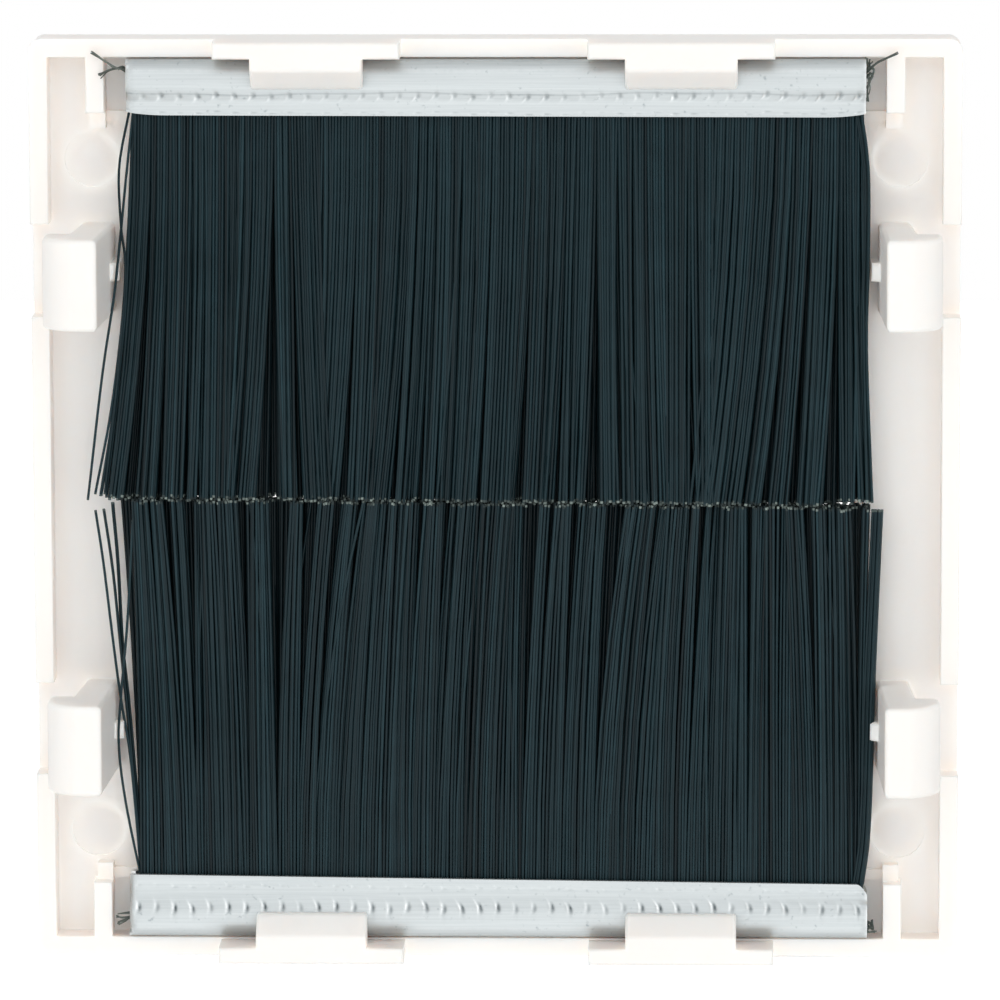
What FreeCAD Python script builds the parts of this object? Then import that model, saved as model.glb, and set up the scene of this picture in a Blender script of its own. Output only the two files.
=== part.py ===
import FreeCAD, Part
import math
import os
import Sketcher

# Brush cable grommet: a square snap-in plate with a window that two strip brushes close.
# Millimetres. X runs across, Z runs up as on the wall, and +Y comes out of the wall.
# The rear rim of the side walls lies in the plane y = 0, and everything behind it is at negative y.

SIZES = {
    # Moulded plate with its window and its four side walls
    "face_size": 50.0,
    "corner_radius": 0.7,
    "front_edge_radius": 0.4,
    "plate_thickness": 1.4,
    "wall_thickness": 1.0,
    "wall_height": 1.8,
    "side_border": 4.75,
    "window_lap": 0.95,
    # Outward snap hooks, two on the left and two on the right
    "hook_pitch": 25.0,
    "hook_width": 4.9,
    "hook_setback": 0.32,
    "hook_stem": 1.8,
    "hook_draft": 0.3,
    "hook_reach": 1.2,
    "hook_height": 8.9,
    "hook_catch_height": 5.4,
    "hook_tip_height": 7.2,
    "hook_flat": 1.3,
    "hook_nose_radius": 2.6,
    "notch_clearance": 0.05,
    "gusset_thickness": 1.0,
    "gusset_reach": 0.4,
    "gusset_height": 2.6,
    "gusset_toe_height": 2.2,
    # Inward tabs that hold the strip brushes down, two at the top and two at the bottom
    "tab_pitch": 20.0,
    "tab_width": 10.0,
    "tab_thickness": 0.9,
    "tab_height": 2.5,
    "tongue_width": 6.0,
    "tongue_reach": 1.7,
    "tongue_ramp": 1.1,
    "tongue_tip_thickness": 0.5,
    "tongue_clearance": 0.05,
    # End posts, their stepped feet and the low rib under each channel's mouth
    "post_thickness": 1.0,
    "post_length": 3.0,
    "foot_thickness": 0.85,
    "foot_length": 0.9,
    "foot_height": 0.9,
    "rib_past_mouth": 0.25,
    "rib_thickness": 0.55,
    "rib_height": 0.3,
    # Round marks that the ejector pins leave on the floor
    "mark_diameter": 3.0,
    "mark_depth": 0.15,
    "mark_from_side": 3.25,
    "mark_from_top": 6.65,
    # Crimped sheet channels
    "channel_inset": 0.25,
    "channel_end_gap": 0.95,
    "channel_height": 3.25,
    "channel_depth": 2.6,
    "channel_sheet": 0.35,
    "channel_bend_radius": 0.9,
    "channel_clearance": 0.05,
    "lip_length": 1.3,
    "lip_crimp": 0.4,
    "dent_pitch": 0.97,
    "dent_width": 0.3,
    "dent_length": 0.8,
    "dent_depth": 0.12,
    "dent_from_mouth": 1.6,
    # Core strand and the filaments folded round it
    "core_diameter": 0.7,
    "core_end": 0.4,
    "pack_clearance": 0.03,
    "pack_inset": 0.2,
    "pack_flare": 0.7,
    "pack_tip_thickness": 1.7,
    "meeting_gap": 0.3,
    "tuft_pitch": 0.5,
    "tuft_slit": 0.1,
    "slit_start": 2.0,
    "tip_step": 0.25,
}


class Size:
    """A length in millimetres together with the expression that ties it to the sheet."""

    def __init__(self, value, text):
        self.value = value
        self.text = text

    def joined(self, other, sign, value):
        return Size(value, f"({self.text} {sign} {as_size(other).text})")

    def __add__(self, other):
        return self.joined(other, "+", self.value + as_size(other).value)

    def __sub__(self, other):
        return self.joined(other, "-", self.value - as_size(other).value)

    def __mul__(self, other):
        return self.joined(other, "*", self.value * as_size(other).value)

    def __truediv__(self, other):
        return self.joined(other, "/", self.value / as_size(other).value)

    def __neg__(self):
        return Size(-self.value, f"(-1 * {self.text})")


def as_size(number):
    return number if isinstance(number, Size) else Size(float(number), str(number))


doc = FreeCAD.newDocument("brush_cable_grommet")
sheet = doc.addObject("Spreadsheet::Sheet", "sizes")
size = {}
for row, (alias, millimetres) in enumerate(SIZES.items(), start=1):
    sheet.set(f"A{row}", alias)
    sheet.set(f"B{row}", str(millimetres))
    sheet.setAlias(f"B{row}", alias)
    size[alias] = Size(millimetres, f"sizes.{alias}")
doc.recompute()

ZERO = as_size(0)
SIDES = (1, -1)
START, END, CENTRE = range(1, 4)


def bind(thing, path, length):
    thing.setExpression(path, length.text)


def new_body(label):
    body = doc.addObject("PartDesign::Body", label)
    body.Label = label
    return body


def plane(body, role):
    return next(item for item in body.Origin.OriginFeatures if item.Role == role)


def new_sketch(body, name, role, offset=ZERO):
    """An empty sketch on one of the body's own planes, moved along the plane's normal by offset."""
    sketch = body.newObject("Sketcher::SketchObject", name)
    sketch.AttachmentSupport = [(plane(body, role), "")]
    sketch.MapMode = "FlatFace"
    bind(sketch, "AttachmentOffset.Base.z", offset)
    return sketch


def pin(sketch, edge, point, x, y):
    """Ties one point of an edge to its two coordinates."""
    for kind, length in (("DistanceX", x), ("DistanceY", y)):
        index = sketch.addConstraint(Sketcher.Constraint(kind, edge, point, length.value))
        bind(sketch, f"Constraints[{index}]", length)


def vector(x, y):
    return FreeCAD.Vector(x.value, y.value, 0)


def arc_between(first, second, radius, turn):
    """The short arc of a radius from one point to the next; turn is 1 for anticlockwise, -1 for clockwise."""
    middle = (first + second) * 0.5
    chord = second - first
    across = FreeCAD.Vector(-chord.y, chord.x, 0)
    across.normalize()
    rise = math.sqrt(radius ** 2 - (chord.Length / 2) ** 2)
    centre = middle + across * rise * turn
    crown = centre - across * radius * turn
    return Part.Arc(first, crown, second)


def add_outline(sketch, corners):
    """Draws a closed outline. A corner is (x, y), or (x, y, radius, turn) where an arc leaves it."""
    base = sketch.GeometryCount
    ends = []
    for corner, following in zip(corners, corners[1:] + corners[:1]):
        first = vector(*corner[:2])
        second = vector(*following[:2])
        if len(corner) == 2:
            sketch.addGeometry(Part.LineSegment(first, second))
            ends.append((START, END))
        else:
            sketch.addGeometry(arc_between(first, second, corner[2].value, corner[3]))
            ends.append((START, END) if corner[3] > 0 else (END, START))
    for number, corner in enumerate(corners):
        edge = base + number
        after = (number + 1) % len(corners)
        sketch.addConstraint(Sketcher.Constraint("Coincident", edge, ends[number][1], base + after, ends[after][0]))
        pin(sketch, edge, ends[number][0], corner[0], corner[1])
        if len(corner) > 2:
            index = sketch.addConstraint(Sketcher.Constraint("Radius", edge, corner[2].value))
            bind(sketch, f"Constraints[{index}]", corner[2])


def add_box(sketch, left, bottom, right, top):
    add_outline(sketch, [(left, bottom), (right, bottom), (right, top), (left, top)])


def add_rounded_box(sketch, half, radius):
    """A square about the origin with round corners."""
    near = half - radius
    add_outline(sketch, [
        (-near, -half), (near, -half, radius, 1), (half, -near), (half, near, radius, 1),
        (near, half), (-near, half, radius, 1), (-half, near), (-half, -near, radius, 1),
    ])


def add_circle(sketch, x, y, diameter):
    edge = sketch.addGeometry(Part.Circle(vector(x, y), FreeCAD.Vector(0, 0, 1), diameter.value / 2))
    pin(sketch, edge, CENTRE, x, y)
    index = sketch.addConstraint(Sketcher.Constraint("Diameter", edge, diameter.value))
    bind(sketch, f"Constraints[{index}]", diameter)


def pad(body, sketch, length, reverse=False):
    feature = body.newObject("PartDesign::Pad", f"{sketch.Name}_pad")
    feature.Profile = sketch
    feature.Reversed = reverse
    bind(feature, "Length", length)
    doc.recompute()
    return feature


def middle_pad(body, sketch, length):
    feature = pad(body, sketch, length)
    feature.SideType = "Symmetric"
    doc.recompute()
    return feature


def pocket(body, sketch, depth, reverse=False):
    """Cuts the sketch away and makes sure that the cut took something."""
    before = body.Shape.Volume
    feature = body.newObject("PartDesign::Pocket", f"{sketch.Name}_cut")
    feature.Profile = sketch
    feature.Reversed = reverse
    bind(feature, "Length", depth)
    doc.recompute()
    if body.Shape.Volume >= before:
        raise RuntimeError(f"{sketch.Name} cuts nothing")
    return feature


def repeat_along_x(body, feature, pitch, count):
    """Repeats a feature along X, count times in all, one pitch apart."""
    pattern = body.newObject("PartDesign::LinearPattern", f"{feature.Name}_row")
    pattern.Originals = [feature]
    pattern.Direction = (plane(body, "X_Axis"), [""])
    bind(pattern, "Occurrences", count)
    bind(pattern, "Length", pitch * (count - 1))
    body.Tip = pattern
    doc.recompute()
    return pattern


def whole(length):
    """The size rounded down to a whole number, for counts."""
    return Size(math.floor(length.value), f"floor({length.text})")


# Places that several pieces share
half_face = size["face_size"] / 2
floor_y = size["wall_height"]
front_y = floor_y + size["plate_thickness"]
inner_half = half_face - size["wall_thickness"]
half_bay = half_face - size["side_border"]
half_window = half_bay - size["window_lap"]
channel_half = half_bay - size["channel_inset"]
channel_length = channel_half * 2
post_inner = channel_half + size["channel_end_gap"]
channel_back = inner_half - size["channel_clearance"]
mouth_z = channel_back - size["channel_height"]
rib_inner = mouth_z - size["rib_past_mouth"]
window_top = rib_inner - size["window_lap"]
channel_near = floor_y - size["channel_depth"]
channel_middle = floor_y - size["channel_depth"] / 2
bore_half = size["channel_depth"] / 2 - size["channel_sheet"]
fold_half = bore_half - size["pack_clearance"]
fold_z = channel_back - size["channel_sheet"] - bore_half
neck_half = bore_half - size["lip_crimp"]
tip_z = size["meeting_gap"] / 2


def add_hooks(frame):
    """Four cantilever hooks whose noses face outward, each with a gusset on its inner side."""
    inner = half_bay + size["hook_setback"]
    inner_top = inner + size["hook_draft"]
    toe = inner - size["gusset_reach"]
    outer = inner + size["hook_stem"]
    outer_top = outer + size["hook_draft"]
    tip = outer_top + size["hook_reach"]
    top_y = floor_y - size["hook_height"]
    tip_y = floor_y - size["hook_tip_height"]
    catch_y = floor_y - size["hook_catch_height"]
    for level, name in zip(SIDES, ("upper", "lower")):
        middle = size["hook_pitch"] / 2 * level
        hooks = new_sketch(frame, f"{name}_hooks", "XY_Plane", middle - size["hook_width"] / 2)
        gussets = new_sketch(frame, f"{name}_gussets", "XY_Plane", middle - size["gusset_thickness"] / 2)
        for side in SIDES:
            add_outline(hooks, [
                (inner * side, floor_y),
                (outer * side, floor_y),
                (outer_top * side, catch_y),
                (tip * side, catch_y),
                (tip * side, tip_y, size["hook_nose_radius"], -side),
                ((inner_top + size["hook_flat"]) * side, top_y),
                (inner_top * side, top_y),
            ])
            add_outline(gussets, [
                (toe * side, floor_y),
                (inner * side, floor_y),
                ((inner + size["hook_draft"] * size["gusset_height"] / size["hook_height"]) * side,
                 floor_y - size["gusset_height"]),
                (toe * side, floor_y - size["gusset_toe_height"]),
            ])
        pad(frame, hooks, size["hook_width"])
        pad(frame, gussets, size["gusset_thickness"])


def add_tabs(frame):
    """Four tabs that carry the side wall further back, each with a ramped tongue over a channel."""
    tab_inner = half_face - size["tab_thickness"]
    tongue_tip = tab_inner - size["tongue_reach"]
    under_y = channel_near - size["tongue_clearance"]
    for side, name in zip(SIDES, ("right", "left")):
        middle = size["tab_pitch"] / 2 * side
        tabs = new_sketch(frame, f"{name}_tabs", "YZ_Plane", middle - size["tab_width"] / 2)
        tongues = new_sketch(frame, f"{name}_tongues", "YZ_Plane", middle - size["tongue_width"] / 2)
        for level in SIDES:
            add_outline(tabs, [
                (ZERO, half_face * level),
                (-size["tab_height"], half_face * level),
                (-size["tab_height"], tab_inner * level),
                (ZERO, tab_inner * level),
            ])
            add_outline(tongues, [
                (under_y, tab_inner * level),
                (-size["tab_height"], tab_inner * level),
                (-size["tab_height"], (tongue_tip + size["tongue_ramp"]) * level),
                (under_y - size["tongue_tip_thickness"], tongue_tip * level),
                (under_y, tongue_tip * level),
            ])
        pad(frame, tabs, size["tab_width"])
        pad(frame, tongues, size["tongue_width"])


def add_posts(frame):
    """Posts that stop the channels endways, with a stepped foot each and a low rib between them."""
    post_end = inner_half - size["post_length"]
    posts = new_sketch(frame, "posts", "XZ_Plane")
    feet = new_sketch(frame, "feet", "XZ_Plane", -floor_y)
    ribs = new_sketch(frame, "ribs", "XZ_Plane", -floor_y)
    for level in SIDES:
        for side in SIDES:
            outer = post_inner + size["post_thickness"]
            add_box(posts, post_inner * side, post_end * level, outer * side, inner_half * level)
            foot_outer = post_inner + size["foot_thickness"]
            foot_end = post_end - size["foot_length"]
            add_box(feet, post_inner * side, foot_end * level, foot_outer * side, post_end * level)
        rib_outer = rib_inner + size["rib_thickness"]
        add_box(ribs, -post_inner, rib_inner * level, post_inner, rib_outer * level)
    pad(frame, posts, size["wall_height"], reverse=True)
    pad(frame, feet, size["foot_height"])
    pad(frame, ribs, size["rib_height"])


def make_frame():
    """The one-piece moulding: plate, walls, hooks, tabs and posts."""
    frame = new_body("module_frame")
    face = new_sketch(frame, "face", "XZ_Plane", -front_y)
    add_rounded_box(face, half_face, size["corner_radius"])
    block = pad(frame, face, front_y)
    rim = frame.newObject("PartDesign::Fillet", "front_edge")
    edges = enumerate(block.Shape.Edges, start=1)
    front = [f"Edge{n}" for n, edge in edges if abs(edge.BoundBox.YMin - front_y.value) < 1e-6]
    rim.Base = (block, front)
    bind(rim, "Radius", size["front_edge_radius"])
    doc.recompute()

    tray = new_sketch(frame, "tray", "XZ_Plane")
    add_box(tray, -inner_half, -inner_half, inner_half, inner_half)
    pocket(frame, tray, floor_y)
    window = new_sketch(frame, "window", "XZ_Plane")
    add_box(window, -half_window, -window_top, half_window, window_top)
    pocket(frame, window, front_y)

    notches = new_sketch(frame, "notches", "XZ_Plane")
    reach = size["hook_width"] / 2 + size["notch_clearance"]
    for level in SIDES:
        middle = size["hook_pitch"] / 2 * level
        for side in SIDES:
            add_box(notches, inner_half * side, middle - reach, half_face * side, middle + reach)
    pocket(frame, notches, floor_y)
    marks = new_sketch(frame, "ejector_marks", "XZ_Plane", -floor_y)
    for level in SIDES:
        for side in SIDES:
            x = (half_face - size["mark_from_side"]) * side
            z = (half_face - size["mark_from_top"]) * level
            add_circle(marks, x, z, size["mark_diameter"])
    pocket(frame, marks, size["mark_depth"])

    add_posts(frame)
    add_hooks(frame)
    add_tabs(frame)
    return frame


def make_channel(label):
    """A folded sheet channel: round back, straight flanks and lips that are crimped on the filaments."""
    channel = new_body(label)
    half = size["channel_depth"] / 2
    bend = size["channel_bend_radius"]
    inner_bend = bend - size["channel_sheet"]
    sheet_back = channel_back - size["channel_sheet"]
    shoulder = mouth_z + size["lip_length"]
    lip_half = half - size["lip_crimp"]
    near = channel_middle - half
    far = channel_middle + half
    bore_near = channel_middle - bore_half
    bore_far = channel_middle + bore_half
    profile = new_sketch(channel, f"{label}_profile", "YZ_Plane")
    add_outline(profile, [
        (channel_middle - lip_half, mouth_z),
        (near, shoulder),
        (near, channel_back - bend, bend, -1),
        (near + bend, channel_back),
        (far - bend, channel_back, bend, -1),
        (far, channel_back - bend),
        (far, shoulder),
        (channel_middle + lip_half, mouth_z),
        (channel_middle + neck_half, mouth_z),
        (bore_far, shoulder),
        (bore_far, channel_back - bend, inner_bend, 1),
        (far - bend, sheet_back),
        (near + bend, sheet_back, inner_bend, 1),
        (bore_near, channel_back - bend),
        (bore_near, shoulder),
        (channel_middle - neck_half, mouth_z),
    ])
    middle_pad(channel, profile, channel_length)

    count = whole(channel_length / size["dent_pitch"] - 1)
    first = -(size["dent_pitch"] * (count - 1) / 2)
    dent_half = size["dent_width"] / 2
    dent_z = mouth_z + size["dent_from_mouth"]
    low = dent_z - size["dent_length"] / 2
    high = dent_z + size["dent_length"] / 2
    dents = new_sketch(channel, f"{label}_dents", "XZ_Plane", -near)
    add_outline(dents, [(first - dent_half, dent_z), (first, low), (first + dent_half, dent_z), (first, high)])
    repeat_along_x(channel, pocket(channel, dents, size["dent_depth"]), size["dent_pitch"], count)
    return channel


def make_core(label):
    """The strand that the filaments are folded round; its ends stand out of the channel."""
    core = new_body(label)
    section = new_sketch(core, f"{label}_section", "YZ_Plane")
    add_circle(section, channel_middle, fold_z, size["core_diameter"])
    middle_pad(core, section, channel_length + size["core_end"] * 2)
    return core


def make_bristles(label):
    """Filaments folded round the core and gripped at the neck, cut into tufts that spread to the tips."""
    pack = new_body(label)
    length = channel_length - size["pack_inset"] * 2
    grip_half = neck_half - size["pack_clearance"]
    tip_half = size["pack_tip_thickness"] / 2
    shoulder = mouth_z + size["lip_length"]
    profile = new_sketch(pack, f"{label}_profile", "YZ_Plane")
    add_outline(profile, [
        (channel_middle - grip_half, mouth_z),
        (channel_middle - fold_half, shoulder),
        (channel_middle - fold_half, fold_z, fold_half, -1),
        (channel_middle, fold_z + fold_half, fold_half, -1),
        (channel_middle + fold_half, fold_z),
        (channel_middle + fold_half, shoulder),
        (channel_middle + grip_half, mouth_z),
    ])
    add_circle(profile, channel_middle, fold_z, size["core_diameter"] + size["pack_clearance"] * 2)
    middle_pad(pack, profile, length)

    root = new_sketch(pack, f"{label}_root", "XY_Plane", mouth_z)
    add_box(root, -(length / 2), channel_middle - grip_half, length / 2, channel_middle + grip_half)
    tip = new_sketch(pack, f"{label}_tip", "XY_Plane", tip_z)
    reach = length / 2 + size["pack_flare"]
    add_box(tip, -reach, channel_middle - tip_half, reach, channel_middle + tip_half)
    spread = pack.newObject("PartDesign::AdditiveLoft", f"{label}_spread")
    spread.Profile = root
    spread.Sections = [tip]
    doc.recompute()

    count = whole(length / size["tuft_pitch"] - 1)
    first = -(size["tuft_pitch"] * (count - 1) / 2)
    near = channel_middle - tip_half
    slit_half = size["tuft_slit"] / 2
    slits = new_sketch(pack, f"{label}_slits", "XZ_Plane", -near)
    add_outline(slits, [
        (first - slit_half, tip_z), (first + slit_half, tip_z), (first, mouth_z - size["slit_start"]),
    ])
    slit = pocket(pack, slits, size["pack_tip_thickness"])
    repeat_along_x(pack, slit, size["tuft_pitch"], count)
    steps = new_sketch(pack, f"{label}_steps", "XZ_Plane", -near)
    add_box(steps, first, tip_z, first + size["tuft_pitch"], tip_z + size["tip_step"])
    step = pocket(pack, steps, size["pack_tip_thickness"])
    repeat_along_x(pack, step, size["tuft_pitch"] * 2, whole(count / 2))
    return pack


def make_turned(label, original):
    """A second piece from the same tool, turned half round about Y."""
    body = new_body(label)
    clone = doc.addObject("PartDesign::FeatureBase", f"{label}_clone")
    clone.BaseFeature = original
    body.Group = [clone]
    body.Tip = clone
    body.Placement = FreeCAD.Placement(FreeCAD.Vector(0, 0, 0), FreeCAD.Rotation(FreeCAD.Vector(0, 1, 0), 180))
    return body


pieces = [make_frame()]
for make, part_name in ((make_channel, "channel"), (make_core, "core"), (make_bristles, "bristles")):
    upper = make(f"upper_{part_name}")
    pieces.append(upper)
    pieces.append(make_turned(f"lower_{part_name}", upper))
doc.recompute()

for item in doc.Objects:
    if "Invalid" in item.State or "Error" in item.State:
        raise RuntimeError(f"{item.Name} failed: {item.State}")
for piece in pieces:
    if piece.Shape.isNull() or not piece.Shape.isValid() or len(piece.Shape.Solids) != 1:
        raise RuntimeError(f"{piece.Label} is not one valid solid")

os.makedirs("parts", exist_ok=True)
for piece in pieces:
    piece.Shape.exportStep(f"parts/{piece.Label}.step")
    box = piece.Shape.BoundBox
    print(f"{piece.Label}: {piece.Shape.Volume:.1f} mm3, x {box.XMin:.2f} to {box.XMax:.2f},"
          f" y {box.YMin:.2f} to {box.YMax:.2f}, z {box.ZMin:.2f} to {box.ZMax:.2f}")
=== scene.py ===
# %% [markdown]
# # Brush cable grommet
# A square snap-in plate for a wall box, seen from behind. A white moulding carries two strip brushes, and their
# black filaments meet at half height, so a cable can pass and draughts and dust can't. The construction comes from
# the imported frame. This lesson gives the moulding its soft edges, lays every filament, crimps the channels and
# finds the camera and the light of the photograph.

# %% Load the frame
import math
import random

import bmesh
import bpy
from mathutils import Matrix, Vector


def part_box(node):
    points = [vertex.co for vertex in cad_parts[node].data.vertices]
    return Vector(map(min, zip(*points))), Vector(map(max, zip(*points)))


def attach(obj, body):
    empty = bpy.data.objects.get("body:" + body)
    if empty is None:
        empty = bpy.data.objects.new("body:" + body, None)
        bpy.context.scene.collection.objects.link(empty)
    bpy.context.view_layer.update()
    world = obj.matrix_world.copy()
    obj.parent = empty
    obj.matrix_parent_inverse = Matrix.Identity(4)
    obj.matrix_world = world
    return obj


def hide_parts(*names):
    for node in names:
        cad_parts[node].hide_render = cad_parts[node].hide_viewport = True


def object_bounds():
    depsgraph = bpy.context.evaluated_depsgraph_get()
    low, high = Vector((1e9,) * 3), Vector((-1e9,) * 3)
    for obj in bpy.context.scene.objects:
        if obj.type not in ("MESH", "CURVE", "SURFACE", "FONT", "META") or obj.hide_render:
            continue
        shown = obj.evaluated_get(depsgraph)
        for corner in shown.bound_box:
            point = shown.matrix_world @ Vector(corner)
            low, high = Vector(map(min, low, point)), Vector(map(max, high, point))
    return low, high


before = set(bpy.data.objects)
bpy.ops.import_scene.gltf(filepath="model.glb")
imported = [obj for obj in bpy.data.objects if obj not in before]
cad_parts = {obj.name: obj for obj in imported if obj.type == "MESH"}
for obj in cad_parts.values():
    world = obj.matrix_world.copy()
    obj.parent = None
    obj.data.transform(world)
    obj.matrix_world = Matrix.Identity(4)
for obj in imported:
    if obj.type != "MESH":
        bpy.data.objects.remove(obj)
cad_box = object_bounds()
MM = 0.001
print("nodes:", sorted(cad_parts))

# %% [markdown]
# ## Camera
# The photograph was taken with a long lens from a little above the plate's axis. A lens of this length keeps the
# square nearly square, and the small height shows the upper faces of the hooks. The camera could be turned by
# hand, but here its three directions are worked out, because the picture is also rolled by a fraction of a degree.

# %% Camera
LENS_MM = 271.0
SENSOR_MM = 36.0
CAMERA_DISTANCE = 406.0 * MM
CAMERA_AZIMUTH = math.radians(1.76)
CAMERA_ELEVATION = math.radians(8.5)
CAMERA_ROLL = math.radians(0.1)
LOOK_AT = Vector((0.23 * MM, 0.0, 0.08 * MM))
CLIP_NEAR = 10 * MM

towards_camera = Vector((
    math.sin(CAMERA_AZIMUTH) * math.cos(CAMERA_ELEVATION),
    -math.cos(CAMERA_AZIMUTH) * math.cos(CAMERA_ELEVATION),
    math.sin(CAMERA_ELEVATION),
))
level_right = (Vector((1, 0, 0)) - towards_camera * towards_camera.x).normalized()
level_up = towards_camera.cross(level_right)
picture_right = level_right * math.cos(CAMERA_ROLL) + level_up * math.sin(CAMERA_ROLL)
picture_up = towards_camera.cross(picture_right)
camera = bpy.data.objects.new("camera", bpy.data.cameras.new("camera"))
camera.data.lens = LENS_MM
camera.data.sensor_width = SENSOR_MM
camera.data.clip_start = CLIP_NEAR
turn = Matrix((picture_right, picture_up, towards_camera)).transposed().to_4x4()
camera.matrix_world = Matrix.Translation(LOOK_AT + towards_camera * CAMERA_DISTANCE) @ turn
bpy.context.scene.collection.objects.link(camera)
bpy.context.scene.camera = camera
print("camera at", [round(v, 4) for v in camera.location])

# %% [markdown]
# ## Colours and nodes
# Screen colours are written as hex values, the way they are picked from a picture. Blender's sockets want linear
# light, so one function turns one into the other. A second small function adds a node, sets it and links it.

# %% Helpers for materials


def linear(hex_colour):
    """Turns an sRGB hex colour into linear red, green, blue and alpha."""
    parts = [int(hex_colour[i:i + 2], 16) / 255 for i in (1, 3, 5)]
    return (*[c / 12.92 if c <= 0.04045 else ((c + 0.055) / 1.055) ** 2.4 for c in parts], 1.0)


def add(tree, kind, inputs=None, **settings):
    """Adds a node. An input is a value, or an output socket to link from."""
    node = tree.nodes.new(kind)
    for name, value in settings.items():
        setattr(node, name, value)
    for name, value in (inputs or {}).items():
        if isinstance(value, bpy.types.NodeSocket):
            tree.links.new(value, node.inputs[name])
        else:
            node.inputs[name].default_value = value
    return node


def new_material(name):
    """An empty material with its shader, its output and its Object coordinates."""
    material = bpy.data.materials.new(name)
    material.use_nodes = True
    tree = material.node_tree
    tree.nodes.clear()
    shader = add(tree, "ShaderNodeBsdfPrincipled")
    add(tree, "ShaderNodeOutputMaterial", {"Surface": shader.outputs["BSDF"]})
    place = add(tree, "ShaderNodeTexCoord").outputs["Object"]
    return material, tree, shader, place


print("white is", linear("#ffffff"))

# %% [markdown]
# ## White moulded ABS
# The frame is injection-moulded ABS: a smooth, slightly glossy white that lets a little light in. The light comes out
# again about a millimetre away, red farther than blue, so shaded corners look warm instead of grey. A noise of a few
# millimetres varies the white where the melt flowed, and a finer one gives the faint orange-peel skin of the mould.

# %% White moulded ABS
FLOW_MM = 6.0
SKIN_MM = 0.25
PLASTIC_IOR = 1.53


def moulded_abs():
    """The white of the frame."""
    material, tree, shader, place = new_material("white_moulded_abs")
    flow = add(tree, "ShaderNodeTexNoise", {"Vector": place, "Scale": 1 / (FLOW_MM * MM), "Detail": 3.0})
    white = add(tree, "ShaderNodeMix", {
        "Factor": flow.outputs["Fac"], "A": linear("#f4f1ed"), "B": linear("#f9f8f5")}, data_type="RGBA")
    skin = add(tree, "ShaderNodeTexNoise", {"Vector": place, "Scale": 1 / (SKIN_MM * MM), "Detail": 2.0})
    gloss = add(tree, "ShaderNodeMapRange", {"Value": skin.outputs["Fac"], "To Min": 0.36, "To Max": 0.48})
    bump = add(tree, "ShaderNodeBump", {"Height": skin.outputs["Fac"], "Strength": 0.08, "Distance": 0.02 * MM})
    tree.links.new(white.outputs["Result"], shader.inputs["Base Color"])
    tree.links.new(gloss.outputs["Result"], shader.inputs["Roughness"])
    tree.links.new(bump.outputs["Normal"], shader.inputs["Normal"])
    shader.inputs["IOR"].default_value = PLASTIC_IOR
    # Burley's method is quick, and it keeps thin white walls bright
    shader.subsurface_method = "BURLEY"
    shader.inputs["Subsurface Weight"].default_value = 0.6
    shader.inputs["Subsurface Radius"].default_value = (1.0, 0.62, 0.42)
    shader.inputs["Subsurface Scale"].default_value = 1.5 * MM
    return material


abs_white = moulded_abs()
print("made", abs_white.name)

# %% [markdown]
# ## Rolled aluminium
# The channels are folded from rolled aluminium strip. Rolling leaves fine lines along the strip, so the noise is
# stretched along X. Handling leaves small dull specks. The crimp's ticks, its crease and the lip's scallops carry a
# painted shade, and the slashes, the bend and the cut ends carry a painted highlight with a smoother skin. The mesh
# marks both with attributes. The metal is a pale matt grey, not a mirror.

# %% Rolled aluminium
ROLL_LINE_MM = 0.09
ROLL_LENGTH_MM = 6.0
SPECK_MM = 0.3


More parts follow.
